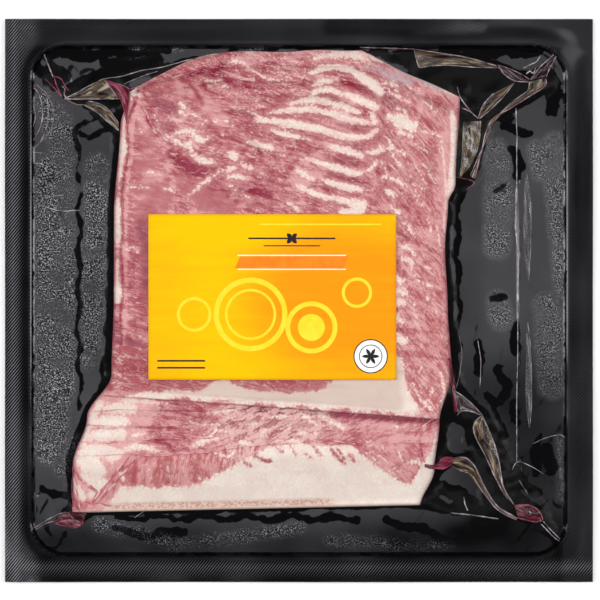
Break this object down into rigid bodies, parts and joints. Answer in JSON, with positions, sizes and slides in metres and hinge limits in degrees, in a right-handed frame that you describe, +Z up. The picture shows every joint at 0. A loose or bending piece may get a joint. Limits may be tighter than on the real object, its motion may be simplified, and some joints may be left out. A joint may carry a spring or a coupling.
{
  "type": "vacuum pack of sliced pork belly",
  "caption": "Flat vacuum pack of thin-cut pork belly: shingled raw slices under clear film on a black formed tray sheet with a knurled seal edge and a plain label.",
  "frame": {"origin": "centre of the pack's outline, at the underside of the tray pocket", "axes": "+Z up out of the label, +X along the slices, +Y towards the end of the pack where the first slice lies"},
  "size_m": [0.272, 0.2606, 0.0117],
  "materials": {
    "black_web": "glossy black formed plastic sheet, with a fine diamond knurl on the seal edge",
    "film_and_meat": "marbled raw pork, pink lean and off-white fat, seen through tight clear film",
    "label_paper": "coated label, yellow to orange, with plain printed shapes"
  },
  "bodies": {
    "root": {"bottom_web": "black_web", "sealed_slices": "film_and_meat", "label": "label_paper"}
  },
  "joints": []
}
